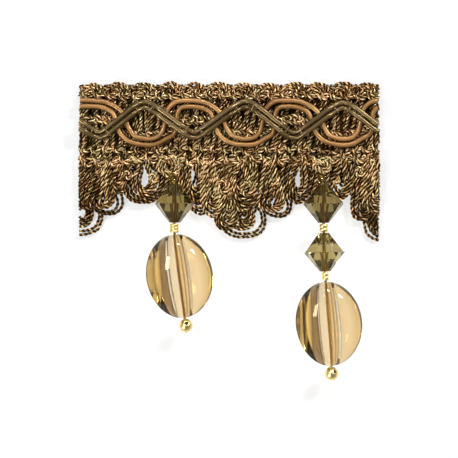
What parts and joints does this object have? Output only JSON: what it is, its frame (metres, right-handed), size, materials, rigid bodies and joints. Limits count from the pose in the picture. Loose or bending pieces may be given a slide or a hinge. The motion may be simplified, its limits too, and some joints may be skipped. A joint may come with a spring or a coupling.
{
  "type": "beaded fringe trim",
  "caption": "Cut length of furnishing trim: crocheted picot heading with interlaced couched gimp cords, scalloped loop fringe and faceted bead drops.",
  "frame": {"origin": "centre of the trim's box, on the surface that its back lies on", "axes": "+X along the heading, +Y from the drops to the picot edge, +Z out of the face"},
  "size_m": [0.0636, 0.0632, 0.0086],
  "materials": {
    "heading_yarn": "lustrous two-ply rayon yarn, bronze and olive",
    "fringe_yarn": "lustrous two-ply rayon yarn, bronze and olive",
    "olive_gimp": "rayon-wrapped gimp cord, satin",
    "copper_gimp": "rayon-wrapped gimp cord, satin",
    "gold_thread": "fine stringing thread",
    "smoky_glass": "faceted, polished",
    "topaz_acrylic": "faceted, polished",
    "gilt": "polished gilt"
  },
  "bodies": {
    "root": {"heading_band": "heading_yarn", "loop_fringe": "fringe_yarn", "zigzag_cord_1": "olive_gimp", "zigzag_cord_2": "olive_gimp", "wave_cord_1": "copper_gimp", "wave_cord_2": "copper_gimp", "left_drop_thread": "gold_thread", "left_drop_tube": "smoky_glass", "left_drop_bicone": "smoky_glass", "left_drop_spacer": "gilt", "left_drop_oval": "topaz_acrylic", "left_drop_ball": "gilt", "right_drop_thread": "gold_thread", "right_drop_tube": "smoky_glass", "right_drop_bicone_1": "smoky_glass", "right_drop_spacer_1": "gilt", "right_drop_bicone_2": "smoky_glass", "right_drop_spacer_2": "gilt", "right_drop_oval": "topaz_acrylic", "right_drop_ball": "gilt"}
  },
  "joints": []
}
